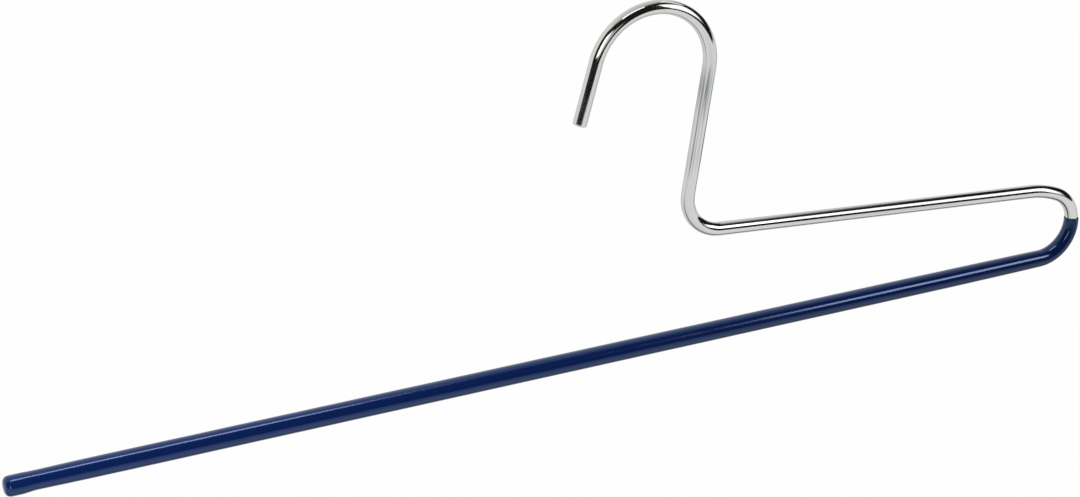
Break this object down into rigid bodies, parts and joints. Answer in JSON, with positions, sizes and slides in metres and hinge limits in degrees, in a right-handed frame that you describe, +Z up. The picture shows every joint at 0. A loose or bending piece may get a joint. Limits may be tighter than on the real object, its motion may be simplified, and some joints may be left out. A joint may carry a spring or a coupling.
{
  "type": "trouser hanger",
  "caption": "Open-ended wire trouser hanger: one bent chrome-plated wire with a hook, a short upper arm and a long lower arm dipped in navy anti-slip coating.",
  "frame": {"origin": "highest point inside the hook, where the rail carries the hanger", "axes": "+X along the arms towards the end bend, the lower arm's free end points to -X; +Z up, out of the rail; Y across the flat of the hanger"},
  "size_m": [0.3392, 0.0058, 0.1093],
  "materials": {
    "chrome_plated_wire": "bright chrome plate, polished",
    "navy_dipped_coating": "glossy dip-moulded PVC, navy"
  },
  "bodies": {
    "root": {"bent_wire": "chrome_plated_wire", "anti_slip_coating": "navy_dipped_coating"}
  },
  "joints": []
}
